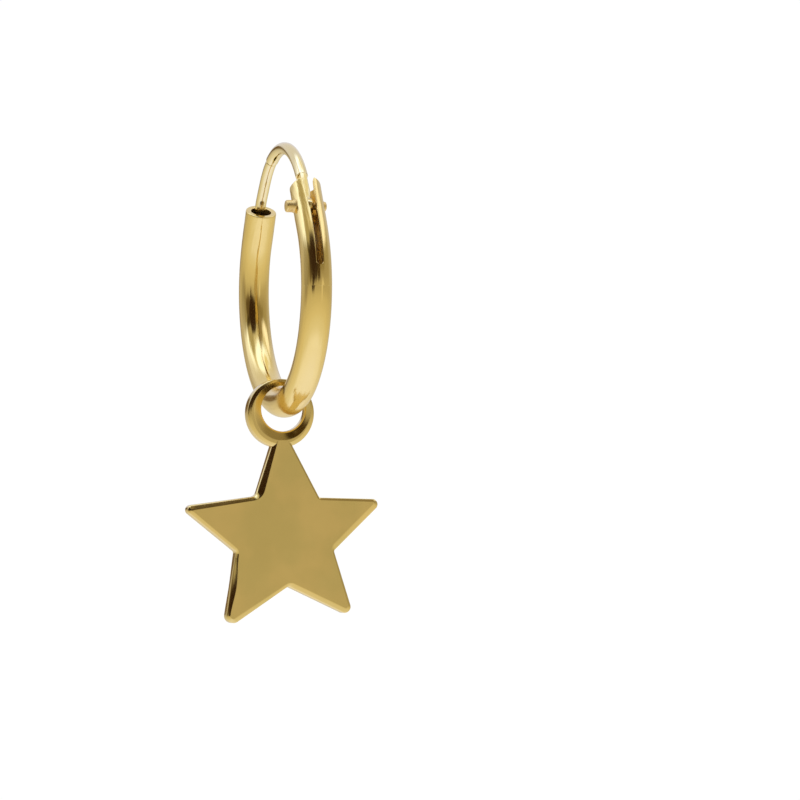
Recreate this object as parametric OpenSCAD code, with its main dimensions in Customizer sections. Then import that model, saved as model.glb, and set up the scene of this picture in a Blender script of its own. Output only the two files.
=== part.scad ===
// Small hinged hoop earring in polished gold, with a flat star charm hanging from the hoop.
// The hoop stands in the YZ plane with its hinge at -Y and its open mouth at +Y.
// The star faces -Y. Z is up, and the origin is the top of the ear wire's arch, on the
// wire's centre line, where the ear lobe carries the earring.
// Lengths are in millimetres and angles in degrees.

/* [Hoop tube] */
// Outside diameter of the hoop's tube
tube_d = 1.5; // [1.3:0.05:1.8]
// Bore of the tube
bore_d = 1.0; // [0.9:0.02:1.1]
// Radius of the bent tube's centre line
hoop_r = 5.55; // [5.4:0.05:5.8]
// Angle above level at which the bend ends on the hinge side
hinge_lean = 31; // [28:1:34]
// Angle above level at which the bend ends on the mouth side
mouth_lean = 26; // [24:1:28]
// Straight tube past the bend on the hinge side
hinge_straight = 2.33; // [2:0.01:2.5]
// Straight tube past the bend on the mouth side
mouth_straight = 1.75; // [1.6:0.05:1.9]

/* [Hinge slot] */
// Width of the narrow slot in the tube's outer wall
slot_w = 0.32; // [0.28:0.02:0.36]
// Width of the slot where the flare below the pin begins
flare_w = 0.38; // [0.36:0.02:0.44]
// Width of the slot at the tube's rim
notch_w = 0.56; // [0.5:0.02:0.7]
// Angle above level at which the slot ends on the hinge side
slot_end = 10.8; // [6:0.2:20]

/* [Hinge pin] */
// Diameter of the rivet pin
pin_d = 0.36; // [0.3:0.02:0.4]
// Height of the pin above the end of the bend, along the tube
pin_up = 1.20; // [1.1:0.02:1.4]
// Diameter of the pin's head
head_d = 0.6; // [0.5:0.02:0.7]
// How far the head stands out of the tube
head_len = 0.41; // [0.2:0.01:0.6]
// Diameter of the pin's hammered end
tail_d = 0.44; // [0.4:0.02:0.6]
// How far the hammered end stands out of the tube
tail_len = 0.14; // [0.1:0.02:0.4]

/* [Ear wire] */
// Diameter of the wire from the hinge over the top
wire_d = 0.61; // [0.55:0.01:0.65]
// Diameter of the wire's thinner end
tip_d = 0.54; // [0.48:0.01:0.58]
// Radius of the arch's centre line
arch_r = 4.18; // [4.0:0.02:4.3]
// Place of the arch's centre across the hoop, from the hoop's centre
arch_y = 0.25; // [-0.1:0.05:0.3]
// Height of the arch's centre above the hoop's centre
arch_z = 2.75; // [2.6:0.05:2.9]
// Angle past the top at which the wire becomes thinner
step_at = 29; // [20:1:40]
// Angle past the top at which the arch ends and the wire runs straight
arch_end = 51.8; // [48:0.2:54]
// Radius of the last bend, which turns the tip straight down
tip_bend_r = 0.7; // [0.6:0.05:0.9]
// Straight length of the tip inside the tube
tip_len = 0.5; // [0.3:0.05:0.6]
// Place of the tip across the hoop, from the hoop's centre
tip_y = 4.36; // [4.3:0.02:4.4]
// Thickness of the flattened tab in the slot
tab_t = 0.32; // [0.28:0.02:0.34]
// Width of the tab
tab_w = 0.62; // [0.5:0.02:0.66]
// Length of the tab from the pin to the round wire
tab_len = 1.85; // [1.6:0.05:2]
// Diameter of the round eye at the tab's end
eye_d = 0.8; // [0.7:0.02:0.86]

/* [Star charm] */
// Thickness of the star and its ring
star_t = 0.72; // [0.7:0.01:0.9]
// Radius of the rounded edges of the star and its ring
edge_r = 0.28; // [0.2:0.02:0.34]
// Place of the star's middle across the front, from the hoop's centre
star_x = 0.02; // [-0.2:0.01:0.2]
// Depth of the star's middle below the hoop's centre
star_drop = 12.13; // [12:0.01:12.3]
// Outside radius of the ring on the star's top
ring_r = 1.69; // [1.65:0.01:1.8]
// Radius of the ring's hole
hole_r = 1.12; // [1.1:0.01:1.15]
// Place of the ring's outside across the front
ring_x = -0.27; // [-0.3:0.01:-0.1]
// Depth of the ring's outside centre below the hoop's centre
ring_drop = 6.09; // [6:0.01:6.2]
// Place of the ring's hole across the front
hole_x = -0.14; // [-0.15:0.01:0]
// Depth of the hole's centre below the hoop's centre
hole_drop = 5.86; // [5.8:0.01:5.87]

/* [Clearances] */
// Running clearance between the pin and the holes that it turns in
pin_gap = 0.03; // [0.02:0.01:0.05]
// Gap between the pin and the tube that holds it
seat_gap = 0.01; // [0.01:0.01:0.02]

/* [Hidden] */

// Smoothness of the round pieces
$fn = 96;
// Segments in the rounding of one corner of the star's outline
corner_steps = 6;
// Layers in the rounding of the star's edge
edge_steps = 4;
// Least radius of a tip where the edge's rounding meets the face
sharpest = 0.05;
// How far a cutter runs past the metal that it cuts
over = 0.5;
// How far one stretch of tube or wire runs on into the next
lap = 0.1;
// Difference in radius where one stretch meets the next
step = 0.01;
// Distance below the pin at which the slot begins to flare
flare_below = 0.45;

// One row for each corner of the star, clockwise from the tip that meets the ring.
// The columns are the angle clockwise from straight up, the reach of the sharp corner
// from the star's middle, and the radius that rounds it in the widest outline. Even rows are tips.
CORNER_ANGLE = 0;
CORNER_REACH = 1;
CORNER_ROUND = 2;
star_corners = [
  [-3.3, 5.39, 0.20],
  [40.9, 2.53, 0.15],
  [70.1, 5.37, 0.27],
  [106.5, 2.51, 0.15],
  [139.2, 5.31, 0.30],
  [178.0, 2.44, 0.15],
  [214.4, 5.60, 0.36],
  [254.1, 2.67, 0.15],
  [285.4, 5.57, 0.24],
  [321.6, 2.52, 0.15]
];

// The frame's origin is the top of the arch, so the hoop's centre lies below it
hoop_centre = [0, -arch_y, -arch_z - arch_r];

// The pin's place in the hoop's plane, from the hoop's centre, as [across, up]
pin_at = [
  -hoop_r * cos(hinge_lean) + pin_up * sin(hinge_lean),
  hoop_r * sin(hinge_lean) + pin_up * cos(hinge_lean)
];
// The tab runs from the pin along the tangent of the arch
pin_to_arch = [arch_y, arch_z] - pin_at;
tangent_len = sqrt(norm(pin_to_arch) ^ 2 - arch_r ^ 2);
tab_lean = 90 - atan2(pin_to_arch[1], pin_to_arch[0]) - asin(arch_r / norm(pin_to_arch));
// The round wire begins on the arch where the bare tab ends
wire_start = tab_lean - 90 + (tab_len - tangent_len) / arch_r * 180 / PI;
// The arc on the arch that is as long as a lap
lap_turn = lap / arch_r * 180 / PI;

// The wire's last straight stretch, from the end of the arch to the tip's bend
tip_turn = 90 - arch_end;
arch_end_at = [arch_y + arch_r * sin(arch_end), arch_z + arch_r * cos(arch_end)];
tip_run = (tip_y - arch_end_at[0] - tip_bend_r * (1 - cos(tip_turn))) / cos(arch_end);
bend_at = arch_end_at + tip_run * [cos(arch_end), -sin(arch_end)];
tip_top_z = bend_at[1] - tip_bend_r * sin(tip_turn);
// The shorter lap where the tip's tight bend begins and ends
bend_lap = 0.06;
bend_lap_turn = bend_lap / tip_bend_r * 180 / PI;

// Places things at the end of the bend on the hinge side: Z runs up the tube, -Y points outward
module at_hinge_end()
{
  translate(hoop_centre + [0, -hoop_r * cos(hinge_lean), hoop_r * sin(hinge_lean)])
    rotate([-hinge_lean, 0, 0])
      children();
}

// Places things at the end of the bend on the mouth side: Z runs up the tube, +Y points outward
module at_mouth_end()
{
  translate(hoop_centre + [0, hoop_r * cos(mouth_lean), hoop_r * sin(mouth_lean)])
    rotate([mouth_lean, 0, 0])
      children();
}

// Sweeps a section round the X axis, from one angle to another, counted from -Z towards +Y.
// The section's first axis is the distance from X.
module sweep(from, to)
{
  rotate([0, 90, 0])
    rotate_extrude(angle = to - from, start = from)
      children();
}

// An arc of round rod in the YZ plane, its angles counted from +Z towards +Y
module rod_arc(r, from, to, d)
{
  sweep(180 - to, 180 - from)
    translate([r, 0])
      circle(d = d);
}

// A cylinder along X, centred on the YZ plane
module cross_rod(d, len)
{
  rotate([0, 90, 0])
    cylinder(d = d, h = len, center = true);
}

// A solid rod along the hoop's whole centre line: a bend of more than half a turn between two
// straight ends, which are a hair wider and run on by extra
module hoop_rod(d, extra)
{
  translate(hoop_centre)
    sweep(-90 - hinge_lean, 90 + mouth_lean)
      translate([hoop_r, 0])
        circle(d = d);
  at_hinge_end()
    translate([0, 0, -lap])
      cylinder(d = d + 2 * step, h = lap + hinge_straight + extra);
  at_mouth_end()
    translate([0, 0, -lap])
      cylinder(d = d + 2 * step, h = lap + mouth_straight + extra);
}

// A point in the hoop's plane on its hinge side, as [across, up] from the hoop's centre
function hinge_side(r, angle) = r * [-cos(angle), sin(angle)];

// The narrow slot: a flat slab from the bore outward, with a round lower end. Its upper end
// lies inside the flare.
module narrow_slot()
{
  outside = hoop_r + tube_d;
  up_tube = pin_up * [sin(hinge_lean), cos(hinge_lean)];
  translate(hoop_centre) {
    rotate([90, 0, 90])
      linear_extrude(slot_w, center = true)
        polygon([
          hinge_side(hoop_r, slot_end),
          hinge_side(hoop_r, hinge_lean),
          hinge_side(hoop_r, hinge_lean) + up_tube,
          hinge_side(outside, hinge_lean) + up_tube,
          hinge_side(outside, hinge_lean),
          hinge_side(outside, slot_end)
        ]);
    rotate([-slot_end, 0, 0])
      translate([0, -hoop_r, 0])
        rotate([90, 0, 0])
          cylinder(d = slot_w + 2 * step, h = tube_d);
  }
}

// The slot's flare, which widens past the pin to the rim so that the tab can swing through it
module slot_flare()
{
  flare_z = pin_up - flare_below;
  past_rim = hinge_straight + 2 * over;
  at_hinge_end()
    translate([0, bore_d / 4, 0])
      rotate([90, 0, 0])
        linear_extrude(tube_d)
          polygon([
            [0, flare_z - 2 * flare_below],
            [flare_w / 2, flare_z],
            [notch_w / 2, hinge_straight],
            [notch_w / 2, past_rim],
            [-notch_w / 2, past_rim],
            [-notch_w / 2, hinge_straight],
            [-flare_w / 2, flare_z]
          ]);
}

// The hollow tube. Its outer wall is slotted on the hinge side, and the pin passes through both
// of its side walls there.
module hoop_tube()
{
  color([0.86, 0.72, 0.38])
    difference() {
      hoop_rod(tube_d, 0);
      hoop_rod(bore_d, over);
      narrow_slot();
      slot_flare();
      at_hinge_end()
        translate([0, 0, pin_up])
          cross_rod(pin_d + 2 * seat_gap, tube_d + over);
    }
}

// The hinge's rivet: a round shaft with a head at -X and a smaller hammered end at +X, both
// hollowed underneath to sit on the tube
module hinge_pin()
{
  reach = tube_d / 2;
  color([0.84, 0.70, 0.36])
    at_hinge_end()
      translate([0, 0, pin_up]) {
        cross_rod(pin_d, tube_d);
        difference() {
          union() {
            translate([-(reach + head_len) / 2, 0, 0])
              cross_rod(head_d, reach + head_len);
            translate([(reach + tail_len) / 2, 0, 0])
              cross_rod(tail_d, reach + tail_len);
          }
          cylinder(d = tube_d + 2 * step + 2 * seat_gap, h = 2 * head_d, center = true);
        }
      }
}

// The ear wire: a flat tab with an eye on the pin, a round arch, and a thinner end that tapers
// in small steps and bends down into the tube's open mouth
module ear_wire()
{
  color([0.88, 0.76, 0.46])
    translate(hoop_centre) {
      translate([0, pin_at[0], pin_at[1]])
        rotate([-tab_lean, 0, 0])
          difference() {
            union() {
              cross_rod(eye_d, tab_t);
              translate([-tab_t / 2, -tab_w / 2, 0])
                cube([tab_t, tab_w, tab_len + lap]);
            }
            cross_rod(pin_d + 2 * pin_gap, over);
          }
      translate([0, arch_y, arch_z]) {
        rod_arc(arch_r, wire_start, step_at, wire_d);
        rod_arc(arch_r, step_at - lap_turn, arch_end, tip_d);
      }
      translate([0, arch_end_at[0], arch_end_at[1]])
        rotate([-90 - arch_end, 0, 0])
          translate([0, 0, -lap])
            cylinder(d = tip_d - 2 * step, h = lap + tip_run);
      translate([0, tip_y - tip_bend_r, tip_top_z])
        rod_arc(tip_bend_r, arch_end - bend_lap_turn, 90, tip_d - 4 * step);
      translate([0, tip_y, tip_top_z - tip_len])
        cylinder(d = tip_d - 6 * step, h = tip_len + bend_lap);
    }
}

// Corner i of the star's sharp outline, as [across, up] from the star's middle
function corner_at(i) =
  let (row = star_corners[(i + 10) % 10])
  row[CORNER_REACH] * [sin(row[CORNER_ANGLE]), cos(row[CORNER_ANGLE])];

// The unit vector from one point to another
function toward(a, b) = (b - a) / norm(b - a);

// The vector turned a quarter turn clockwise
function right_of(v) = [v[1], -v[0]];

// Corner i of the outline drawn in by inset, with its sides kept parallel
function inset_corner(i, inset) =
  let (
    before = toward(corner_at(i - 1), corner_at(i)),
    after = toward(corner_at(i), corner_at(i + 1)),
    half = (right_of(before) + right_of(after)) / 2
  )
  corner_at(i) + half / (half * half) * inset;

// The points that round corner i of the outline drawn in by inset. Tips turn sharper and
// notches wider towards the face.
function corner_arc(i, inset) =
  let (
    tip = i % 2 == 0,
    round = star_corners[i][CORNER_ROUND],
    r = tip ? max(round - inset, sharpest) : round + inset,
    before = toward(corner_at(i - 1), corner_at(i)),
    after = toward(corner_at(i), corner_at(i + 1)),
    side = tip ? 1 : -1,
    bisector = side * (right_of(before) + right_of(after)) / 2,
    centre = inset_corner(i, inset) + bisector / (bisector * bisector) * r,
    from = atan2(-side * right_of(before)[1], -side * right_of(before)[0]),
    turn = acos(before * after)
  )
  [for (k = [0:corner_steps])
    centre + r * [cos(from - side * turn * k / corner_steps),
                  sin(from - side * turn * k / corner_steps)]];

// The whole rounded outline drawn in by inset
function star_outline(inset) = [for (i = [0:9]) each corner_arc(i, inset)];

// The edge's layers from the front face to the back, as [inset, depth]
edge_layers = concat(
  [for (k = [0:edge_steps])
    let (a = 90 * k / edge_steps)
    [edge_r * (1 - sin(a)), -star_t / 2 + edge_r * (1 - cos(a))]],
  [for (k = [edge_steps:-1:0])
    let (a = 90 * k / edge_steps)
    [edge_r * (1 - sin(a)), star_t / 2 - edge_r * (1 - cos(a))]]
);

// The star's plate, with every edge rounded
module star_plate()
{
  outline_n = 10 * (corner_steps + 1);
  layer_n = len(edge_layers);
  rim = [for (layer = edge_layers)
    each [for (p = star_outline(layer[0])) [p[0], layer[1], p[1]]]];
  front_middle = len(rim);
  back_middle = front_middle + 1;
  last = (layer_n - 1) * outline_n;
  sides = [for (j = [0:layer_n - 2], i = [0:outline_n - 1])
    let (here = j * outline_n, next = (i + 1) % outline_n)
    [here + i, here + outline_n + i, here + outline_n + next, here + next]];
  front = [for (i = [0:outline_n - 1]) [front_middle, i, (i + 1) % outline_n]];
  back = [for (i = [0:outline_n - 1]) [back_middle, last + (i + 1) % outline_n, last + i]];
  polyhedron(
    concat(rim, [[0, -star_t / 2, 0], [0, star_t / 2, 0]]),
    concat(front, sides, back)
  );
}

// Half of a disc's section with rounded outer edges
module disc_section(r)
{
  flat = star_t / 2 - edge_r;
  translate([0, -star_t / 2])
    square([r - edge_r, star_t]);
  translate([0, -flat])
    square([r, 2 * flat]);
  for (side = [-1, 1])
    translate([r - edge_r, side * flat])
      circle(r = edge_r);
}

// Half of the section of a hole whose edges are rounded
module hole_section(r)
{
  flat = star_t / 2 - edge_r;
  difference() {
    translate([0, -star_t])
      square([r + edge_r, 2 * star_t]);
    translate([r, -flat])
      square([2 * edge_r, 2 * flat]);
    for (side = [-1, 1])
      translate([r + edge_r, side * flat])
        circle(r = edge_r);
  }
}

// The star and the ring that hangs it on the hoop, cast and soldered as one piece
module star_charm()
{
  color([0.70, 0.59, 0.31])
    translate(hoop_centre)
      difference() {
        union() {
          translate([star_x, 0, -star_drop])
            star_plate();
          translate([ring_x, 0, -ring_drop])
            rotate([90, 0, 0])
              rotate_extrude()
                disc_section(ring_r);
        }
        translate([hole_x, 0, -hole_drop])
          rotate([90, 0, 0])
            rotate_extrude()
              hole_section(hole_r);
      }
}

hoop_tube();
hinge_pin();
ear_wire();
star_charm();
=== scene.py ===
"""Looks of a small hinged hoop earring in polished gold with a flat star charm."""

import math

import bmesh
import bpy
import numpy as np
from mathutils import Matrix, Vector
from mathutils.geometry import tessellate_polygon


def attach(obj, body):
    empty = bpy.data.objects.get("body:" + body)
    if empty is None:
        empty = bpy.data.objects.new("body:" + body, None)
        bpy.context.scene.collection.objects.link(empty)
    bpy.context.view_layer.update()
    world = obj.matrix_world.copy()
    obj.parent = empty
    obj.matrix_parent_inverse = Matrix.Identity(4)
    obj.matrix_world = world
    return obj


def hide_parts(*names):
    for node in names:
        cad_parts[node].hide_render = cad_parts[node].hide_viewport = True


MM = 0.001

# Sizes in millimetres, the same as in the CAD source
BEND_R = 5.55
TUBE_R = 0.75
END_R = 0.76
BORE_R = 0.5
HINGE_LEAN = 31.0
MOUTH_LEAN = 26.0
HINGE_STRAIGHT = 2.33
MOUTH_STRAIGHT = 1.75
SLOT_HALF = 0.16
FLARE_HALF = 0.19
NOTCH_HALF = 0.28
SLOT_END = 10.8
FLARE_BELOW = 0.45
PIN_UP = 1.20
PIN_R = 0.18
HEAD_R = 0.30
HEAD_LEN = 0.41
TAIL_R = 0.22
TAIL_LEN = 0.14
WIRE_R = 0.305
TIP_R = 0.27
ARCH_R = 4.18
ARCH_Y = 0.25
ARCH_Z = 2.75
STEP_AT = 29.0
ARCH_END = 51.8
TAB_HALF_T = 0.16
TAB_HALF_W = 0.31
TAB_LEN = 1.85
EYE_R = 0.40
EYE_HOLE_R = 0.21
STAR_T = 0.72
STAR_X = 0.02
STAR_DROP = 12.13
RING_R = 1.69
RING_X = -0.27
RING_DROP = 6.09
HOLE_R = 1.12
HOLE_X = -0.14
HOLE_DROP = 5.86

# The wire's end in the mouth runs along the bore here, but straight down in the CAD source:
# its radius, distance out from the bore's centre at the rim, bend and length past the rim
TIP_END_R = 0.24
TIP_OFF = 0.2
TIP_BEND_R = 1.5
TIP_LEN = 0.45
# Thickness of the ring: the CAD source makes it as thick as the star
RING_T = 0.70

# Fine forms that only the looks have, in millimetres
RIM_ROUND = 0.05
# Growth of the slot and of the bore at a rounded rim, as shares of the rim's inset
RIM_SLOT_GROWTH = 0.3
RIM_BORE_GROWTH = 0.6
PRONG_CROWN = 0.16
CROWN_REACH = 0.9
SLOT_EDGE = 0.035
# A slot narrower than this is closed, and its edge is then all but sharp
CLOSED = 1e-6
CLOSED_EDGE = 1e-7
# Where the tube widens to its end radius, from the end of the bend
END_BLEND = (-0.8, 0.6)
# Fillet under a pin's head: distance out from the tube's wall, and radius as a share of the head's
PIN_FILLET = [(-0.04, 1.3), (0.02, 1.16), (0.07, 1.04), (0.12, 1.0)]
HEAD_CROWN = 0.02
SHAFT_INSIDE = 0.05
# Rounding of a head as a share of its radius, and how far in it meets the tube, squared, as a share
HEAD_ROUND = 0.28
HEAD_SEAT = 0.8
# Groove at the wire's shoulder, and length over which the wire steps down there
GROOVE_DEPTH = 0.07
GROOVE_WIDTH = 0.04
GROOVE_AT = 0.02
STEP_RUN = 0.015
# Ends of the round wire, and the flat tab
WIRE_START_ROUND = 0.05
TIP_ROUND = 0.2
TAB_EDGE = 0.05
TAB_CORNER = 0.10
TAB_PAST_EDGE = 0.012
TAB_OVERLAP = 0.1

# Bevels of the charm: width in millimetres, its limit as a share of the ring's band, and drop per width
RING_INNER_W = 0.46
RING_INNER_LIMIT = 0.56
RING_INNER_DROP = 0.35
RING_OUTER_W = 0.20
RING_OUTER_LIMIT = 0.36
RING_OUTER_DROP = 0.6
# Shape of every bevel: number of steps, where the flat face begins, and the mix of chamfer and roll
BEVEL_STEPS = 16
PAST_BEVEL = 1.1
CHAMFER_SHARE = 0.62
CHAMFER_POWER = 1.15
ROLL_POWER = 16
# Rounding of a corner further in on the bevel: a notch grows by a share, a tip shrinks to the least
NOTCH_GROWTH = 1.6
LEAST_ROUND = 0.05
# Angle clockwise from straight up, reach and rounding of each corner of the star
# The top point is cut off flat where the ring's hole begins, so it has two corners
# The other corners are those of the CAD source, but the last notch is rounder
STAR_CORNERS = [
    (1.56, 4.732, 0.02),
    (40.9, 2.53, 0.15),
    (70.1, 5.37, 0.27),
    (106.5, 2.51, 0.15),
    (139.2, 5.31, 0.30),
    (178.0, 2.44, 0.15),
    (214.4, 5.60, 0.36),
    (254.1, 2.67, 0.15),
    (285.4, 5.57, 0.24),
    (321.6, 2.52, 0.28),
    (-7.94, 4.776, 0.02),
]
# Bevel of the side after each corner: width at its start and end, extra in the middle, drop per width
STAR_SIDES = [
    (0.10, 0.10, 0.0, 0.5),
    (0.12, 0.14, 0.0, 0.7),
    (0.26, 0.24, 0.0, 0.45),
    (0.10, 0.16, 0.0, 0.45),
    (0.24, 0.24, 0.0, 0.45),
    (0.14, 0.24, 0.0, 0.45),
    (0.18, 0.15, 0.11, 0.95),
    (0.14, 0.20, 0.0, 0.45),
    (0.27, 0.19, 0.0, 0.75),
    (0.35, 0.20, 0.0, 0.85),
    (0.01, 0.01, 0.0, 0.5),
]

# Worked out from the sizes
HOOP_CENTRE = np.array([0.0, -ARCH_Y, -ARCH_Z - ARCH_R])
BEND_LEN = BEND_R * math.radians(180 + HINGE_LEAN + MOUTH_LEAN)
TUBE_LEN = HINGE_STRAIGHT + MOUTH_STRAIGHT + BEND_LEN
SLOT_STOP = HINGE_STRAIGHT + BEND_R * math.radians(HINGE_LEAN - SLOT_END)

# Mesh limits, in metres for the first two and in degrees for the third
WELD = 1e-8
SPECK = 1e-9
CREASE = 40


def sin(a):
    """Sine of an angle in degrees."""
    return math.sin(math.radians(a))


def cos(a):
    """Cosine of an angle in degrees."""
    return math.cos(math.radians(a))


# Mesh helpers


def clean_mesh(name, verts, faces, second=()):
    """A closed mesh from points in millimetres, measured from the hoop's centre.

    The faces that second lists take the second material.
    """
    mesh = bpy.data.meshes.new(name)
    points = (np.asarray(verts, float) + HOOP_CENTRE) * MM
    mesh.from_pydata([tuple(p) for p in points], [], [tuple(map(int, f)) for f in faces])
    for i in second:
        mesh.polygons[i].material_index = 1
    bm = bmesh.new()
    bm.from_mesh(mesh)
    bmesh.ops.remove_doubles(bm, verts=bm.verts, dist=WELD)
    bmesh.ops.dissolve_degenerate(bm, edges=bm.edges, dist=SPECK)
    bmesh.ops.recalc_face_normals(bm, faces=bm.faces)
    bm.to_mesh(mesh)
    bm.free()
    return mesh


def finish_mesh(name, mesh, body, nodes, materials):
    """Puts a mesh on its body as the piece that stands for some nodes."""
    mesh.shade_smooth()
    mesh.set_sharp_from_angle(angle=math.radians(CREASE))
    for material in materials:
        mesh.materials.append(material)
    mesh.name = name
    obj = bpy.data.objects.new(name, mesh)
    bpy.context.scene.collection.objects.link(obj)
    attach(obj, body)
    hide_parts(*nodes)
    return obj


def grid_faces(rows, cols, closed, start=0):
    """Faces between rows of points, each row closed into a loop or left open."""
    faces = []
    for j in range(rows - 1):
        for i in range(cols if closed else cols - 1):
            a, b = start + j * cols + i, start + j * cols + (i + 1) % cols
            faces.append((a, b, b + cols, a + cols))
    return faces


def smoothstep(a, b, x):
    """0 before a, 1 after b and smooth between."""
    t = np.clip((x - a) / (b - a), 0.0, 1.0)
    return t * t * (3 - 2 * t)


# Hoop tube


def tube_station(s):
    """Point, direction and outward normal in the hoop's plane, s along the tube from its slotted rim."""
    if s < HINGE_STRAIGHT:
        n = np.array([-cos(HINGE_LEAN), sin(HINGE_LEAN)])
        up = np.array([sin(HINGE_LEAN), cos(HINGE_LEAN)])
        return BEND_R * n + up * (HINGE_STRAIGHT - s), -up, n
    if s < HINGE_STRAIGHT + BEND_LEN:
        a = 180 - HINGE_LEAN + math.degrees((s - HINGE_STRAIGHT) / BEND_R)
        n = np.array([cos(a), sin(a)])
        return BEND_R * n, np.array([-sin(a), cos(a)]), n
    n = np.array([cos(MOUTH_LEAN), sin(MOUTH_LEAN)])
    up = np.array([-sin(MOUTH_LEAN), cos(MOUTH_LEAN)])
    return BEND_R * n + up * (s - HINGE_STRAIGHT - BEND_LEN), up, n


def slot_half(s):
    """Half the slot's width at a distance from the slotted rim."""
    z = HINGE_STRAIGHT - s
    flare_z = PIN_UP - FLARE_BELOW
    if z > flare_z:
        return FLARE_HALF + (NOTCH_HALF - FLARE_HALF) * (z - flare_z) / (HINGE_STRAIGHT - flare_z)
    if s > SLOT_STOP:
        t = (s - SLOT_STOP) * (BEND_R + TUBE_R) / BEND_R
        return math.sqrt(max(SLOT_HALF**2 - t * t, 0.0))
    return max(SLOT_HALF, FLARE_HALF * (z - flare_z + 2 * FLARE_BELOW) / (2 * FLARE_BELOW))


def c_section(outer, inner, half, edge):
    """Section of a slotted tube as (across, outward) points: a C whose four edges are rounded."""
    n_out, n_in, n_edge = 112, 48, 4
    points = []

    def corner(radius, sign):
        """Rounding between an arc of the wall and the slot's flank, on the right side."""
        x = half + edge
        r = radius - sign * edge
        y = math.sqrt(max(r * r - x * x, 0.0))
        centre = np.array([x, y])
        to_wall = math.atan2(sign * y, sign * x) % (2 * math.pi)
        turn = np.linspace(to_wall, math.pi, n_edge + 1)
        return [centre + edge * np.array([math.cos(a), math.sin(a)]) for a in turn]

    def mirrored(side):
        """The same points on the left side."""
        return [(-x, y) for x, y in side]

    outer_corner = corner(outer, 1)
    inner_corner = corner(inner, -1)
    start = math.atan2(outer_corner[0][0], outer_corner[0][1])
    for a in np.linspace(start, 2 * math.pi - start, n_out):
        points.append((outer * math.sin(a), outer * math.cos(a)))
    points += mirrored(outer_corner[1:])
    points += mirrored(inner_corner[:0:-1])
    start = math.atan2(inner_corner[0][0], inner_corner[0][1])
    for a in np.linspace(2 * math.pi - start, start, n_in):
        points.append((inner * math.sin(a), inner * math.cos(a)))
    points += [tuple(p) for p in inner_corner[1:]]
    points += [tuple(p) for p in outer_corner[:0:-1]]
    return points, n_out, n_in, n_edge


def tube_stations():
    """Places along the tube, each with the inset of its walls: both rims are rounded."""
    turn = [90 * k / 6 for k in range(7)]
    rim = [(RIM_ROUND * (1 - cos(a)), RIM_ROUND * (1 - sin(a))) for a in turn]
    slot_round = SLOT_HALF * BEND_R / (BEND_R + TUBE_R)
    # Millimetres between places: they stand closer together along the slot
    from_rim, after_slot = RIM_ROUND + 0.05, 0.03
    slot_spacing, spacing = 0.09, 0.11
    places = list(np.arange(from_rim, SLOT_STOP, slot_spacing))
    places += [SLOT_STOP + slot_round * sin(a) for a in np.linspace(0, 90, 9)]
    places += list(np.arange(places[-1] + after_slot, TUBE_LEN - from_rim, spacing))
    stations = rim + [(s, 0.0) for s in places]
    return stations + [(TUBE_LEN - s, inset) for s, inset in reversed(rim)]


def build_tube(material, bore):
    """The slotted hollow tube of the hoop. Its inside has a gold of its own, paler and brighter than the
    outside: painted light for light bounced round inside the tube.
    """
    stations = tube_stations()
    verts = []
    for s, inset in stations:
        p, t, n = tube_station(s)
        z_hinge, z_mouth = HINGE_STRAIGHT - s, MOUTH_STRAIGHT - (TUBE_LEN - s)
        end = max(smoothstep(*END_BLEND, z_hinge), smoothstep(*END_BLEND, z_mouth))
        outer = TUBE_R + (END_R - TUBE_R) * end
        half = slot_half(s)
        edge = min(SLOT_EDGE, max(half, CLOSED) * 0.4)
        if s > SLOT_STOP + SLOT_HALF:
            half, edge = 0.0, CLOSED_EDGE
        grown = half + RIM_SLOT_GROWTH * inset if half > 0 else 0.0
        inner = BORE_R + RIM_BORE_GROWTH * inset
        section, n_out, n_in, n_edge = c_section(outer - inset, inner, grown, edge)
        # The prongs' ends are crowned: the outer wall reaches further up than the rest of the rim
        lift = PRONG_CROWN * (1 - smoothstep(0.0, CROWN_REACH, s))
        for x, o in section:
            q = p + n * o - t * lift * (max(o, 0.0) / END_R) ** 2
            verts.append((x, q[0], q[1]))
    cols = n_out + n_in + 4 * n_edge
    faces, inside = [], []
    for j in range(len(stations) - 1):
        open_here = max(slot_half(stations[j][0]), slot_half(stations[j + 1][0])) > CLOSED
        for i in range(cols):
            on_wall = i < n_out - 1 or n_out + 2 * n_edge <= i < n_out + 2 * n_edge + n_in - 1
            if on_wall or open_here:
                a, b = j * cols + i, j * cols + (i + 1) % cols
                if n_out + n_edge <= i < cols - n_edge:
                    inside.append(len(faces))
                faces.append((a, b, b + cols, a + cols))
    # The rims: strips between the outer and the inner wall
    for j in (0, len(stations) - 1):
        base = j * cols
        out = [base + i for i in range(n_out)]
        inn = [base + n_out + 2 * n_edge + i for i in range(n_in)][::-1]
        if j == 0:
            left_side = [base + n_out - 1 + i for i in range(2 * n_edge + 2)]
            right_side = [base + (0 if i == 0 else cols - i) for i in range(2 * n_edge + 2)]
            faces.append(tuple(left_side))
            faces.append(tuple(right_side))
        for i in range(n_in - 1):
            a0 = round(i * (n_out - 1) / (n_in - 1))
            a1 = round((i + 1) * (n_out - 1) / (n_in - 1))
            faces.append(tuple(out[a0:a1 + 1]) + (inn[i + 1], inn[i]))
    mesh = clean_mesh("hoop_tube_gold", verts, faces, inside)
    return finish_mesh("hoop_tube_gold", mesh, "hoop", ["hoop_tube"], [material, bore])


# Hinge pin


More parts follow.
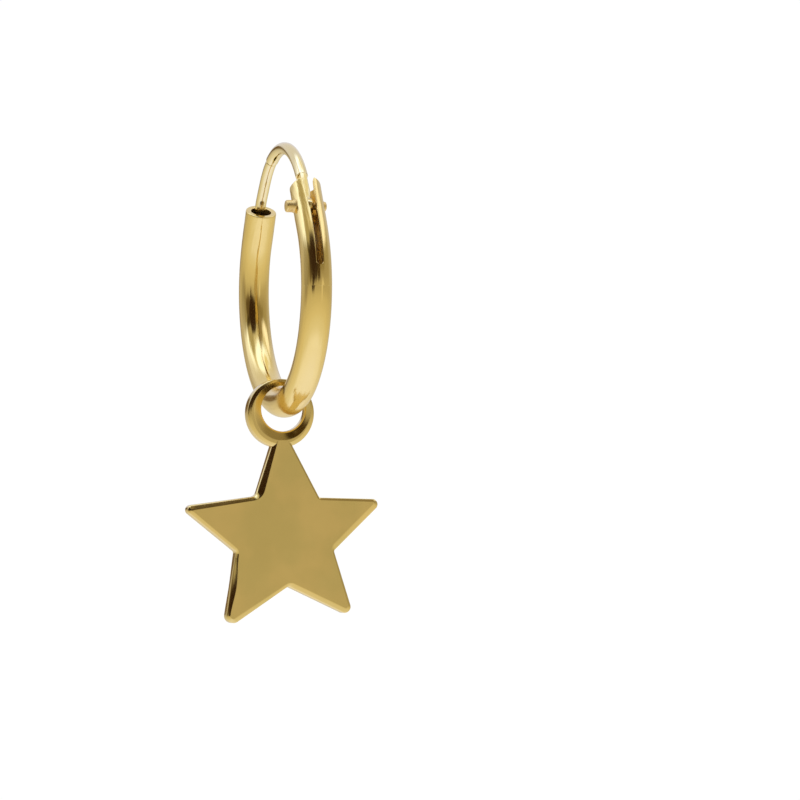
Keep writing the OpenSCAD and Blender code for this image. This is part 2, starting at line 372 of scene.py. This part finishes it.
def build_pin(material):
    """The rivet of the hinge, turned about its own axis."""
    n = np.array([-cos(HINGE_LEAN), sin(HINGE_LEAN)])
    up = np.array([sin(HINGE_LEAN), cos(HINGE_LEAN)])
    at = BEND_R * n + up * PIN_UP

    def button(side, radius, length):
        """Half of the pin's profile from the tube's wall out to the end of one head."""
        wall = math.sqrt(END_R**2 - radius**2 * HEAD_SEAT)
        top = END_R + length
        rounding = min(radius * HEAD_ROUND, length / 2)
        flat = radius - rounding
        # The shaft widens inside the wall, where it is hidden
        points = [(wall - SHAFT_INSIDE, PIN_R)]
        points += [(wall + out, radius * share) for out, share in PIN_FILLET]
        for a in np.linspace(0, 90, 9):
            points.append((top - HEAD_CROWN - rounding + rounding * sin(a), flat + rounding * cos(a)))
        for k in (0.75, 0.5, 0.25, 0.0):
            points.append((top - HEAD_CROWN * k * k, flat * k))
        return [(side * x, r) for x, r in points]

    left = button(-1, HEAD_R, HEAD_LEN)
    right = button(1, TAIL_R, TAIL_LEN)
    profile = left[::-1] + right
    cols = 48
    verts = []
    for x, r in profile:
        for k in range(cols):
            a = 2 * math.pi * k / cols
            q = at + n * (r * math.cos(a)) + up * (r * math.sin(a))
            verts.append((x, q[0], q[1]))
    faces = grid_faces(len(profile), cols, True)
    mesh = clean_mesh("hinge_pin_gold", verts, faces)
    return finish_mesh("hinge_pin_gold", mesh, "hoop", ["hinge_pin"], [material])


# Flat plates with rounded edges


def plate(outline, hole, half, shares):
    """A plate between two faces: outline(f) and hole(f) give loops of (u, v, drop below the face)."""
    verts, faces, spans = [], [], []
    # From the front face, over the edge, to the back face
    levels = [(f, -1) for f in reversed(shares)] + [(f, 1) for f in shares]
    loops = [outline] + ([hole] if hole else [])
    for loop in loops:
        start = len(verts)
        for f, side in levels:
            points = loop(f)
            verts += [(u, side * (half - fall), v) for u, v, fall in points]
        faces += grid_faces(len(levels), len(points), True, start)
        spans.append((start, len(points)))
    for level in (0, len(levels) - 1):
        rings = [[start + level * n + i for i in range(n)] for start, n in spans]
        flat = [[Vector((verts[i][0], verts[i][2], 0)) for i in ring] for ring in rings]
        ids = [i for ring in rings for i in ring]
        faces += [tuple(ids[i] for i in tri) for tri in tessellate_polygon(flat)]
    return verts, faces


# Ear wire


def wire_path():
    """Points, directions and radii of the round wire from the tab to its end in the mouth."""
    pin = np.array(
        [
            -BEND_R * cos(HINGE_LEAN) + PIN_UP * sin(HINGE_LEAN),
            BEND_R * sin(HINGE_LEAN) + PIN_UP * cos(HINGE_LEAN),
        ]
    )
    centre = np.array([ARCH_Y, ARCH_Z])
    to_arch = centre - pin
    dist = np.linalg.norm(to_arch)
    tangent = math.sqrt(dist**2 - ARCH_R**2)
    lean = 90 - math.degrees(math.atan2(to_arch[1], to_arch[0])) - math.degrees(math.asin(ARCH_R / dist))
    start = lean - 90 + math.degrees((TAB_LEN - tangent) / ARCH_R)
    end = centre + ARCH_R * np.array([sin(ARCH_END), cos(ARCH_END)])
    pts = [centre + ARCH_R * np.array([sin(a), cos(a)]) for a in np.linspace(start, ARCH_END, 130)]
    # The straight run turns gently into the direction of the bore
    run_way = np.array([cos(ARCH_END), -sin(ARCH_END)])
    bore_way = np.array([sin(MOUTH_LEAN), -cos(MOUTH_LEAN)])
    outward = np.array([cos(MOUTH_LEAN), sin(MOUTH_LEAN)])
    rim = outward * (BEND_R + TIP_OFF) - bore_way * MOUTH_STRAIGHT
    run, back = np.linalg.solve(np.column_stack([run_way, bore_way]), rim - end)
    turn = 90 - ARCH_END - MOUTH_LEAN
    cut = TIP_BEND_R * math.tan(math.radians(turn / 2))
    bend = end + run_way * (run - cut)
    bend_centre = bend - TIP_BEND_R * np.array([sin(ARCH_END), cos(ARCH_END)])
    pts += [end + run_way * (run - cut) * k for k in np.linspace(0, 1, 22)[1:]]
    for a in np.linspace(ARCH_END, 90 - MOUTH_LEAN, 10)[1:]:
        pts.append(bend_centre + TIP_BEND_R * np.array([sin(a), cos(a)]))
    last = pts[-1]
    pts += [last + bore_way * (back - cut + TIP_LEN) * k for k in np.linspace(0, 1, 12)[1:]]
    pts = np.array(pts)
    d = np.gradient(pts, axis=0)
    d /= np.linalg.norm(d, axis=1)[:, None]
    s = np.concatenate([[0], np.cumsum(np.linalg.norm(np.diff(pts, axis=0), axis=1))])
    step_s = math.radians(STEP_AT - start) * ARCH_R
    return pin, lean, pts, d, s, step_s


def wire_rows():
    """Centre, direction and radius at each place along the round wire, with the pin's place and lean."""
    pin, lean, pts, d, s, step_s = wire_path()
    total = s[-1]
    # More places at the two ends and at the shoulder
    extra = [step_s + k for k in np.linspace(-0.12, 0.12, 25)]
    extra += list(np.linspace(0, 0.16, 9)) + list(total - np.linspace(0, 0.2, 11))
    where = np.unique(np.round(np.concatenate([s, extra]), 5))
    rows = []
    for q in where:
        p = np.array([np.interp(q, s, pts[:, k]) for k in (0, 1)])
        t = np.array([np.interp(q, s, d[:, k]) for k in (0, 1)])
        t /= np.linalg.norm(t)
        r = WIRE_R + (TIP_R - WIRE_R) * smoothstep(step_s - STEP_RUN, step_s + STEP_RUN, q)
        r -= GROOVE_DEPTH * math.exp(-(((q - step_s - GROOVE_AT) / GROOVE_WIDTH) ** 2))
        r += (TIP_END_R - TIP_R) * smoothstep(total - TIP_LEN, total - TIP_ROUND, q)
        if q < WIRE_START_ROUND:
            rise = math.sqrt(max(1 - (1 - q / WIRE_START_ROUND) ** 2, 0.0))
            r -= WIRE_START_ROUND * (1 - rise)
        from_end = total - q
        if from_end < TIP_ROUND:
            r *= math.sqrt(max(1 - (1 - from_end / TIP_ROUND) ** 2, 0.0)) * 0.999 + 0.001
        rows.append((p, t, r))
    return pin, lean, rows


def tab_fall(e):
    """Drop of the tab's rounded edge at a distance in from its outline."""
    return TAB_EDGE - math.sqrt(max(TAB_EDGE**2 - (TAB_EDGE - min(e, TAB_EDGE)) ** 2, 0.0))


def tab_outline(e):
    """Outline of the wire's flat tab and round eye, drawn in by e, each point with its drop."""
    half, radius = TAB_HALF_W - e, EYE_R - e
    meet = math.degrees(math.asin(half / radius))
    loop = [(radius * sin(a), -radius * cos(a)) for a in np.linspace(180 - meet, -180 + meet, 40)]
    top = TAB_LEN + TAB_OVERLAP - e
    turn = [(TAB_CORNER * cos(a), TAB_CORNER * sin(a)) for a in np.linspace(0, 90, 6)]
    loop += [(-half + TAB_CORNER - x, top - TAB_CORNER + y) for x, y in turn]
    loop += [(half - TAB_CORNER + x, top - TAB_CORNER + y) for x, y in reversed(turn)]
    return [(u, v, tab_fall(e)) for u, v in loop]


def eye_hole(e):
    """Outline of the eye's hole, widened by e, each point with its drop."""
    r = EYE_HOLE_R + e
    return [(r * cos(a), r * sin(a), tab_fall(e)) for a in np.arange(0, 360, 9)]


def build_wire(material):
    """The ear wire: its round part and, as a second closed shell, the flat tab with the eye."""
    pin, lean, rows = wire_rows()
    cols = 56
    verts = []
    for p, t, r in rows:
        n = np.array([-t[1], t[0]])
        for k in range(cols):
            a = 2 * math.pi * k / cols
            q = p + n * (r * math.sin(a))
            verts.append((r * math.cos(a), q[0], q[1]))
    faces = grid_faces(len(rows), cols, True)
    faces.append(tuple(range(cols)))
    faces.append(tuple(range((len(rows) - 1) * cols, len(rows) * cols)))
    # The tab is drawn in the hoop's plane
    along = np.array([sin(lean), cos(lean)])
    across = np.array([cos(lean), -sin(lean)])
    insets = [TAB_EDGE * (1 - sin(a)) for a in np.linspace(0, 90, 5)][::-1] + [TAB_EDGE + TAB_PAST_EDGE]
    flat, tab_faces = plate(tab_outline, eye_hole, TAB_HALF_T, insets)
    base = len(verts)
    for u, x, v in flat:
        q = pin + across * u + along * v
        verts.append((x, q[0], q[1]))
    faces += [tuple(base + i for i in f) for f in tab_faces]
    mesh = clean_mesh("ear_wire_gold", verts, faces)
    return finish_mesh("ear_wire_gold", mesh, "wire", ["ear_wire"], [material])


# Star charm


def star_corner(i):
    """Place of corner i of the star, before it is rounded."""
    angle, reach, _ = STAR_CORNERS[i % len(STAR_CORNERS)]
    return np.array([STAR_X + reach * sin(angle), -STAR_DROP + reach * cos(angle)])


def unit(v):
    """The same direction at length one."""
    return v / np.linalg.norm(v)


def right_of(v):
    """The direction a quarter turn to the right."""
    return np.array([v[1], -v[0]])


def side_line(i, f):
    """Start and direction of side i of the star, drawn in by a share of its bevel's width."""
    start, end = star_corner(i), star_corner(i + 1)
    inward = right_of(unit(end - start))
    first, second, _, _ = STAR_SIDES[i]
    start, end = start + inward * first * f, end + inward * second * f
    return start, unit(end - start)


def corner_arc(i, f, steps=12):
    """Rounded corner i of the star's outline drawn in by a share of the bevel, clockwise."""
    start, before = side_line(i - 1, f)
    onward, after = side_line(i, f)
    reach, _ = np.linalg.solve(np.column_stack([before, -after]), onward - start)
    sharp = start + before * reach
    tip = before @ right_of(after) < 0
    rounding = STAR_CORNERS[i][2]
    inset = f * (STAR_SIDES[i - 1][1] + STAR_SIDES[i][0]) / 2
    r = max(rounding - inset, min(rounding, LEAST_ROUND)) if tip else rounding + NOTCH_GROWTH * inset
    half = (right_of(before) + right_of(after)) / 2
    side = 1 if tip else -1
    centre = sharp + side * half / (half @ half) * r
    first = math.atan2(*(-side * right_of(before))[::-1])
    turn = math.acos(before @ after)
    angles = [first - side * turn * k / steps for k in range(steps + 1)]
    return [centre + r * np.array([math.cos(a), math.sin(a)]) for a in angles]


def drop(f):
    """Drop of a bevel of unit width, a share of it in from the outline: a chamfer that rolls over."""
    out = 1 - min(f, 1.0)
    roll = 1 - math.sqrt(1 - out**ROLL_POWER)
    return CHAMFER_SHARE * out**CHAMFER_POWER + (1 - CHAMFER_SHARE) * roll


def star_outline(f):
    """Points of the star's outline drawn in by a share of the bevel, clockwise, each with its drop."""
    count = len(STAR_CORNERS)
    corners = [corner_arc(i, f) for i in range(count)]
    points = []
    for i, here in enumerate(corners):
        following = corners[(i + 1) % count]
        start_w, end_w, extra, fall = STAR_SIDES[i]
        before = STAR_SIDES[i - 1][1] * STAR_SIDES[i - 1][3]
        for k, p in enumerate(here):
            t = k / (len(here) - 1)
            points.append((*p, (before + (start_w * fall - before) * t) * drop(f)))
        inward = right_of(unit(following[0] - here[-1]))
        for t in np.linspace(0, 1, 14)[1:-1]:
            more = extra * sin(180 * t) ** 2
            p = here[-1] + (following[0] - here[-1]) * t + inward * more * f
            points.append((*p, (start_w + (end_w - start_w) * t + more) * fall * drop(f)))
    return points


def band(a):
    """Width of the ring's band in the direction a from the ring's centre."""
    ring, hole = np.array([RING_X, -RING_DROP]), np.array([HOLE_X, -HOLE_DROP])
    way = np.array([math.cos(a), math.sin(a)])
    off = hole - ring
    along = off @ way
    return RING_R - (along + math.sqrt(HOLE_R**2 - (off @ off - along**2)))


def ring_outline(f):
    """Points of the ring's outside drawn in by a share of its bevel, each with its drop."""
    points = []
    for a in np.linspace(2 * math.pi, 0, 141)[:-1]:
        wide = min(RING_OUTER_W, RING_OUTER_LIMIT * band(a))
        r = RING_R - f * wide
        fall = RING_OUTER_DROP * wide * drop(f)
        points.append((RING_X + r * math.cos(a), -RING_DROP + r * math.sin(a), fall))
    return points


def ring_hole(f):
    """Points of the ring's hole widened by a share of its bevel, each with its drop."""
    hole, ring = np.array([HOLE_X, -HOLE_DROP]), np.array([RING_X, -RING_DROP])
    points = []
    for a in np.linspace(0, 2 * math.pi, 121)[:-1]:
        way = np.array([math.cos(a), math.sin(a)])
        towards = math.atan2(*(hole + HOLE_R * way - ring)[::-1])
        wide = min(RING_INNER_W, RING_INNER_LIMIT * band(towards))
        points.append((*(hole + way * (HOLE_R + f * wide)), RING_INNER_DROP * wide * drop(f)))
    return points


def join_shells(name, shells, body, nodes, material):
    """One closed mesh from two overlapping ones, with a sharp crease where they meet."""
    parts = []
    for k, (verts, faces) in enumerate(shells):
        mesh = clean_mesh(f"{name}_{k}", verts, faces, range(len(faces)) if k else ())
        mesh.materials.append(material)
        mesh.materials.append(material)
        parts.append(bpy.data.objects.new(mesh.name, mesh))
        bpy.context.scene.collection.objects.link(parts[-1])
    union = parts[0].modifiers.new("union", "BOOLEAN")
    union.operation = "UNION"
    union.solver = "EXACT"
    union.object = parts[1]
    depsgraph = bpy.context.evaluated_depsgraph_get()
    joined = bpy.data.meshes.new_from_object(parts[0].evaluated_get(depsgraph))
    for obj in parts:
        bpy.data.objects.remove(obj)
    seam = {}
    for face in joined.polygons:
        for key in face.edge_keys:
            seam.setdefault(key, set()).add(face.material_index)
        face.material_index = 0
    joined.materials.clear()
    obj = finish_mesh(name, joined, body, nodes, [material])
    for edge in joined.edges:
        if len(seam[edge.key]) > 1:
            edge.use_edge_sharp = True
    return obj


def build_charm(material):
    """The star and its ring, joined into one solid."""
    shares = [(1 - cos(180 * k / BEVEL_STEPS)) / 2 for k in range(BEVEL_STEPS + 1)] + [PAST_BEVEL]
    shells = [
        plate(star_outline, None, STAR_T / 2, shares),
        plate(ring_outline, ring_hole, RING_T / 2, shares),
    ]
    return join_shells("star_charm_gold", shells, "charm", ["star_charm"], material)


# Materials

# Sizes of the noises in the gold, as noise scale per metre
CLOUD_SCALE = 450
GLOSS_SCALE = 700
RIPPLE_SCALE = 900
STREAK_SCALE = 3800
# Noise values where the second colour begins and is full, and the noise range that the gloss uses
CLOUD_EDGES = (0.35, 0.68)
GLOSS_RANGE = (0.3, 0.7)
# Lowest and highest roughness, as shares of the material's own
GLOSS_SPREAD = (0.75, 1.35)
# Millimetres of streak noise for each radian along the bend: small, so the streaks are long
STREAK_RUN = 0.35
GOLD = (0.81, 0.615, 0.222)
DEEP_GOLD = (0.79, 0.59, 0.205)


class Nodes:
    """Short words for building a sum of math nodes."""

    def __init__(self, tree):
        self.tree = tree

    def math(self, operation, a, b=0.0):
        n = self.tree.nodes.new("ShaderNodeMath")
        n.operation = operation
        for socket, value in zip(n.inputs, (a, b)):
            if isinstance(value, (int, float)):
                socket.default_value = value
            else:
                self.tree.links.new(value, socket)
        return n.outputs[0]

    def dot(self, vector, axis):
        n = self.tree.nodes.new("ShaderNodeVectorMath")
        n.operation = "DOT_PRODUCT"
        self.tree.links.new(vector, n.inputs[0])
        n.inputs[1].default_value = axis
        return n.outputs["Value"]

    def fade(self, value, low, high):
        """0 below low and 1 above high, smooth between, also with low above high."""
        n = self.tree.nodes.new("ShaderNodeMapRange")
        n.interpolation_type = "SMOOTHSTEP"
        falling = low > high
        n.inputs["From Min"].default_value = min(low, high)
        n.inputs["From Max"].default_value = max(low, high)
        n.inputs["To Min"].default_value = 1.0 if falling else 0.0
        n.inputs["To Max"].default_value = 0.0 if falling else 1.0
        self.tree.links.new(value, n.inputs["Value"])
        return n.outputs[0]

    def over(self, below, colour, amount):
        """Lays a colour over another by an amount."""
        n = self.tree.nodes.new("ShaderNodeMix")
        n.data_type = "RGBA"
        factor, a, b = n.inputs[0], n.inputs[6], n.inputs[7]
        self.tree.links.new(amount, factor)
        for socket, value in ((a, below), (b, colour)):
            if isinstance(value, tuple):
                socket.default_value = (*value, 1)
            else:
                self.tree.links.new(value, socket)
        return n.outputs[2]

    def noise(self, place, scale, detail):
        n = self.tree.nodes.new("ShaderNodeTexNoise")
        n.inputs["Scale"].default_value = scale
        n.inputs["Detail"].default_value = detail
        self.tree.links.new(place, n.inputs["Vector"])
        return n.outputs["Fac"]

    def scaled(self, value, low, high, to_low, to_high):
        """Maps the range from low to high onto another range."""
        n = self.tree.nodes.new("ShaderNodeMapRange")
        limits = {"From Min": low, "From Max": high, "To Min": to_low, "To Max": to_high}
        for key, limit in limits.items():
            n.inputs[key].default_value = limit
        self.tree.links.new(value, n.inputs["Value"])
        return n.outputs[0]

    def bump(self, height, distance, normal=None):
        n = self.tree.nodes.new("ShaderNodeBump")
        n.inputs["Strength"].default_value = 1.0
        n.inputs["Distance"].default_value = distance
        self.tree.links.new(height, n.inputs["Height"])
        if normal:
            self.tree.links.new(normal, n.inputs["Normal"])
        return n.outputs[0]


def gold(name, base, deep, roughness, ripple=0.0, streaks=0.0, bend=None):
    """Gold: uneven colour and gloss, faint waves, and polishing streaks along a bend.

    The bend is the centre that the tube or wire curves round, as (y, z) from the hoop's centre.
    Ripple and streaks are heights in millimetres.
    """
    material = bpy.data.materials.new(name)
    material.use_nodes = True
    tree = material.node_tree
    tree.nodes.clear()
    m = Nodes(tree)
    out = tree.nodes.new("ShaderNodeOutputMaterial")
    shader = tree.nodes.new("ShaderNodeBsdfPrincipled")
    shader.inputs["Metallic"].default_value = 1.0
    tree.links.new(shader.outputs[0], out.inputs[0])
    place = tree.nodes.new("ShaderNodeTexCoord").outputs["Object"]
    colour = m.over(base, deep, m.fade(m.noise(place, CLOUD_SCALE, 3), *CLOUD_EDGES))
    tree.links.new(colour, shader.inputs["Base Color"])
    low, high = GLOSS_SPREAD
    gloss = m.scaled(m.noise(place, GLOSS_SCALE, 4), *GLOSS_RANGE, roughness * low, roughness * high)
    tree.links.new(gloss, shader.inputs["Roughness"])
    normal = m.bump(m.noise(place, RIPPLE_SCALE, 1), ripple * MM)
    if bend:
        # Distance from the bend's centre, place across it, and a little of the place along it
        apart = tree.nodes.new("ShaderNodeSeparateXYZ")
        tree.links.new(place, apart.inputs[0])
        x, y, z = apart.outputs
        y = m.math("SUBTRACT", y, float(HOOP_CENTRE[1] + bend[0]) * MM)
        z = m.math("SUBTRACT", z, float(HOOP_CENTRE[2] + bend[1]) * MM)
        radius = m.math("SQRT", m.math("ADD", m.math("MULTIPLY", y, y), m.math("MULTIPLY", z, z)))
        along = m.math("MULTIPLY", m.math("ARCTAN2", z, y), STREAK_RUN * MM)
        rolled = tree.nodes.new("ShaderNodeCombineXYZ")
        for socket, value in zip(rolled.inputs, (x, radius, along)):
            tree.links.new(value, socket)
        normal = m.bump(m.noise(rolled.outputs[0], STREAK_SCALE, 2), streaks * MM, normal)
    tree.links.new(normal, shader.inputs["Normal"])
    return material


def tube_gold():
    return gold("gold_tube", GOLD, DEEP_GOLD, 0.135, ripple=0.0012, streaks=0.022, bend=(0, 0))


# Painted light: the bore's gold is paler and brighter than the outside gold, so the inside seen through
# the slot looks lit by bounced light
def bounce_lit_bore_gold():
    return gold("gold_bore_painted_bounce_light", (0.96, 0.76, 0.36), (0.92, 0.68, 0.29), 0.32)


def wire_gold():
    pale, deep = (0.81, 0.67, 0.33), (0.79, 0.64, 0.30)
    return gold("gold_wire", pale, deep, 0.12, ripple=0.0012, streaks=0.015, bend=(ARCH_Y, ARCH_Z))


def pin_gold():
    return gold("gold_pin", (0.82, 0.61, 0.24), (0.76, 0.54, 0.18), 0.38, ripple=0.010)


def charm_gold():
    return gold("gold_charm", (0.78, 0.585, 0.22), (0.70, 0.545, 0.20), 0.15, ripple=0.0010)


# Stage, light and camera


def plain_white(name, strength):
    """A matt white that glows evenly, so it shows no shadow and no shading."""
    material = bpy.data.materials.new(name)
    material.use_nodes = True
    shader = material.node_tree.nodes["Principled BSDF"]
    shader.inputs["Base Color"].default_value = (0.02, 0.02, 0.02, 1)
    shader.inputs["Roughness"].default_value = 1.0
    shader.inputs["Specular IOR Level"].default_value = 0.0
    shader.inputs["Emission Color"].default_value = (1, 1, 1, 1)
    shader.inputs["Emission Strength"].default_value = strength
    return material


def build_stage():
    """A pale floor that curves up into a backdrop behind the object."""
    floor_z, top_z = -0.044, 0.55
    front_y, back_y = -0.16, 0.36
    half_w, curve = 0.9, 0.15
    path = [(front_y, floor_z), (back_y - curve, floor_z)]
    for a in range(10, 91, 10):
        path.append((back_y - curve + curve * sin(a), floor_z + curve * (1 - cos(a))))
    path.append((back_y, top_z))
    verts, faces = [], []
    for y, z in path:
        verts += [(-half_w, y, z), (half_w, y, z)]
    for j in range(len(path) - 1):
        faces.append((2 * j, 2 * j + 1, 2 * j + 3, 2 * j + 2))
    mesh = bpy.data.meshes.new("floor")
    mesh.from_pydata(verts, [], faces)
    mesh.shade_smooth()
    floor = bpy.data.objects.new("floor", mesh)
    bpy.context.scene.collection.objects.link(floor)
    mesh.materials.append(plain_white("floor_white", 1.0))
    floor.visible_glossy = False


def heading(azimuth, elevation):
    """Unit vector towards a place round the object, azimuth 0 in front and positive to its right."""
    return (sin(azimuth) * cos(elevation), -cos(azimuth) * cos(elevation), sin(elevation))


# The studio as the gold sees it, all round: elevation and tone from straight below to overhead
STUDIO = [
    (-90, (1.10, 1.15, 1.55)),
    (-50, (1.08, 1.11, 1.36)),
    (-30, (0.91, 0.89, 0.84)),
    (-20, (0.86, 0.81, 0.68)),
    (-10, (0.76, 0.71, 0.57)),
    (1, (0.59, 0.54, 0.42)),
    (11, (0.47, 0.42, 0.32)),
    (22, (0.45, 0.41, 0.29)),
    (38, (0.60, 0.56, 0.45)),
    (54, (0.85, 0.83, 0.78)),
    (63, (1.5, 1.8, 2.9)),
    (74, (1.6, 1.9, 3.0)),
    (84, (1.3, 1.4, 1.9)),
]
# Soft patches laid over it, in order: azimuth, elevation, half width, half height, softness, tone
PATCHES = [
    (22, 27, 34, 13, 0.6, (0.31, 0.26, 0.15)),
    (28, -3, 8, 10, 0.7, (0.86, 0.80, 0.68)),
    (80, 38, 25, 11, 0.6, (1.4, 1.45, 1.9)),
    (-118, 31, 24, 18, 0.6, (1.7, 2.0, 3.2)),
    (-100, 8, 22, 12, 0.7, (0.33, 0.29, 0.20)),
    (-75, 42, 16, 14, 0.6, (0.52, 0.48, 0.36)),
    (26, 48, 12, 24, 0.6, (0.36, 0.30, 0.20)),
    (180, 39, 60, 31, 0.6, (0.84, 0.86, 1.05)),
    (115, 70, 15, 9, 0.6, (0.98, 0.94, 0.76)),
    (8, 38, 6, 25, 0.35, (0.05, 0.03, 0.01)),
    (-66, 24, 17, 5, 0.6, (0.07, 0.05, 0.02)),
    (-64, 12, 15, 9, 0.6, (0.14, 0.10, 0.05)),
    (-31, 26, 30, 21, 0.22, (0.04, 0.02, 0.01)),
    (-39, 9, 10, 12, 0.25, (0.04, 0.02, 0.01)),
    (-167, 8, 8, 7, 0.6, (0.19, 0.12, 0.045)),
    (2, 13, 8, 8, 0.4, (0.07, 0.04, 0.01)),
]


def build_world():
    """Soft studio surroundings that only the gold sees, and plain white for the camera."""
    world = bpy.data.worlds.new("studio")
    bpy.context.scene.world = world
    world.use_nodes = True
    tree = world.node_tree
    tree.nodes.clear()
    m = Nodes(tree)
    way = tree.nodes.new("ShaderNodeTexCoord").outputs["Generated"]
    up = m.dot(way, (0, 0, 1))
    colour = STUDIO[0][1]
    for (low, _), (high, tone) in zip(STUDIO, STUDIO[1:]):
        colour = m.over(colour, tone, m.fade(up, sin(low), sin(high)))
    for azimuth, elevation, wide, high, soft, tone in PATCHES:
        ahead = np.array(heading(azimuth, elevation))
        level = np.array([cos(azimuth), sin(azimuth), 0.0])
        upright = np.cross(level, -ahead)
        a = m.math("DIVIDE", m.dot(way, tuple(level)), sin(wide))
        b = m.math("DIVIDE", m.dot(way, tuple(upright)), sin(high))
        d = m.math("ADD", m.math("MULTIPLY", a, a), m.math("MULTIPLY", b, b))
        inside = m.fade(d, 1.0 + soft, 1.0 - soft)
        facing = m.fade(m.dot(way, tuple(ahead)), 0.0, 0.1)
        colour = m.over(colour, tone, m.math("MULTIPLY", inside, facing))

    studio = tree.nodes.new("ShaderNodeBackground")
    tree.links.new(colour, studio.inputs["Color"])
    plain = tree.nodes.new("ShaderNodeBackground")
    plain.inputs["Color"].default_value = (1, 1, 1, 1)
    rays = tree.nodes.new("ShaderNodeLightPath")
    choose = tree.nodes.new("ShaderNodeMixShader")
    tree.links.new(rays.outputs["Is Camera Ray"], choose.inputs[0])
    tree.links.new(studio.outputs[0], choose.inputs[1])
    tree.links.new(plain.outputs[0], choose.inputs[2])
    out = tree.nodes.new("ShaderNodeOutputWorld")
    tree.links.new(choose.outputs[0], out.inputs[0])


# The photo's view, in degrees, millimetres and pixels
VIEW_AZIMUTH = -16.1
VIEW_ELEVATION = -1.9
VIEW_DISTANCE = 300.0
PX_PER_MM = 20.371
IMAGE_PX = 800
HOOP_PX = (284.62, 289.37)
SENSOR = 36


def build_camera():
    """A long lens slightly to the left of the star's face and a little below it."""
    back = np.array(heading(VIEW_AZIMUTH, VIEW_ELEVATION))
    right = np.array([cos(VIEW_AZIMUTH), sin(VIEW_AZIMUTH), 0.0])
    up = np.cross(right, -back)
    at = HOOP_CENTRE + back * VIEW_DISTANCE
    off = [(IMAGE_PX / 2 - px) / PX_PER_MM for px in HOOP_PX]
    ahead = Vector(unit(-back * VIEW_DISTANCE + right * off[0] - up * off[1]))
    data = bpy.data.cameras.new("camera")
    data.sensor_width = SENSOR
    data.lens = SENSOR * VIEW_DISTANCE / (IMAGE_PX / PX_PER_MM)
    data.clip_start, data.clip_end = 0.01, 10
    camera = bpy.data.objects.new("camera", data)
    bpy.context.scene.collection.objects.link(camera)
    camera.rotation_mode = "QUATERNION"
    camera.location = Vector(at * MM)
    camera.rotation_quaternion = ahead.to_track_quat("-Z", "Y")
    bpy.context.scene.camera = camera


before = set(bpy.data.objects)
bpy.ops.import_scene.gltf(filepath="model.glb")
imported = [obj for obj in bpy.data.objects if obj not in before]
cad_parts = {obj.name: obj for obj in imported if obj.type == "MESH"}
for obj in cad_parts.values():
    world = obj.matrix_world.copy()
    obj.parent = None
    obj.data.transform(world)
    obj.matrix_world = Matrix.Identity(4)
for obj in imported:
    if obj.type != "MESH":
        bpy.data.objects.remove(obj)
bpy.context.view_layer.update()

build_tube(tube_gold(), bounce_lit_bore_gold())
build_pin(pin_gold())
build_wire(wire_gold())
build_charm(charm_gold())
build_stage()
build_world()
build_camera()

scene = bpy.context.scene
scene.view_settings.view_transform = "Standard"
scene.view_settings.look = "None"
